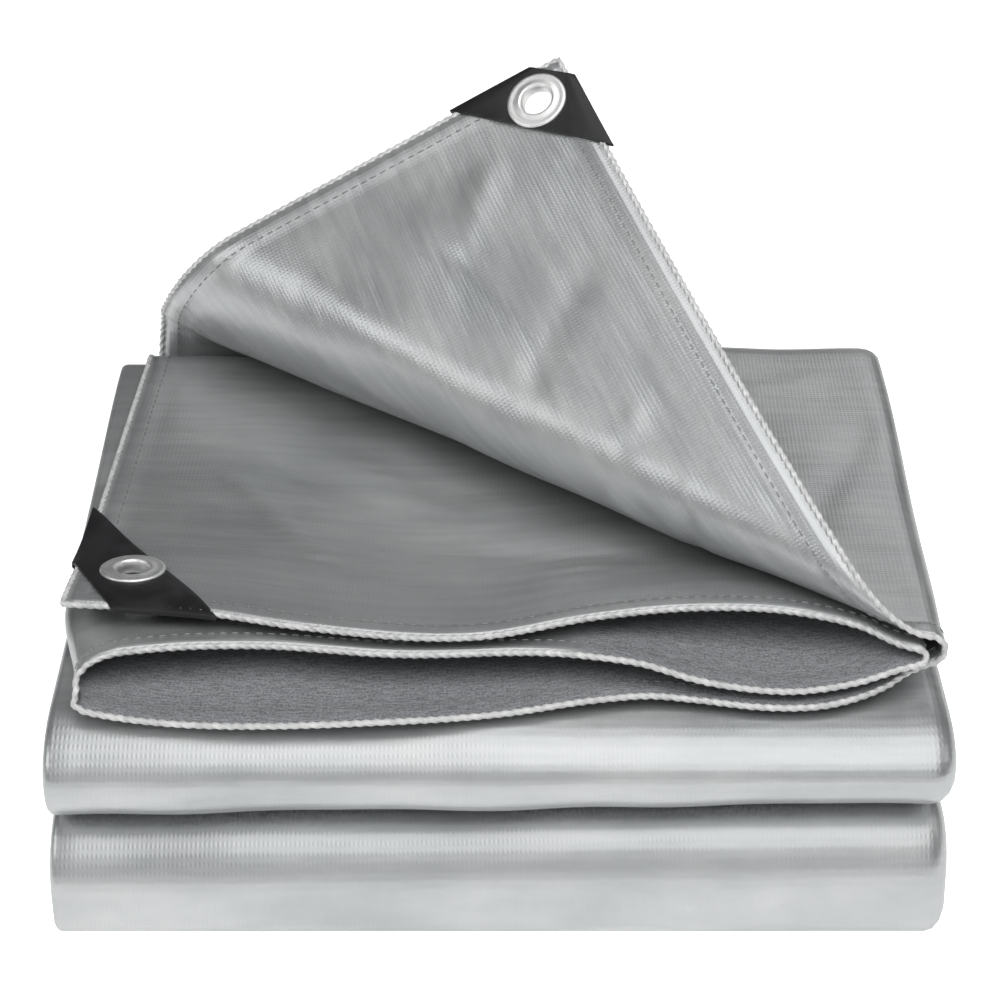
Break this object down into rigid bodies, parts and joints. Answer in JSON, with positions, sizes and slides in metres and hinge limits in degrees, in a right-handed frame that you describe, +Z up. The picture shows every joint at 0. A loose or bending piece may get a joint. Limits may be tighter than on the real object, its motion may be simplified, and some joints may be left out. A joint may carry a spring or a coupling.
{
  "type": "folded tarp",
  "caption": "Coated woven tarp folded into a flat stack, one corner lifted and rolled back, with reinforced corner patches and metal eyelets.",
  "frame": {"origin": "on the ground under the middle of the whole tarp's box", "axes": "+Z up, the front folds face -Y, the lying corner is at the left, -X"},
  "size_m": [0.3412, 0.2989, 0.2483],
  "materials": {
    "cloth": "silver coated weave, satin",
    "patch": "matte black",
    "eyelet": "satin"
  },
  "bodies": {
    "root": {"tarp": "cloth", "patch_lifted": "patch", "patch_lying": "patch", "eyelet_lifted": "eyelet", "eyelet_lying": "eyelet"}
  },
  "joints": []
}
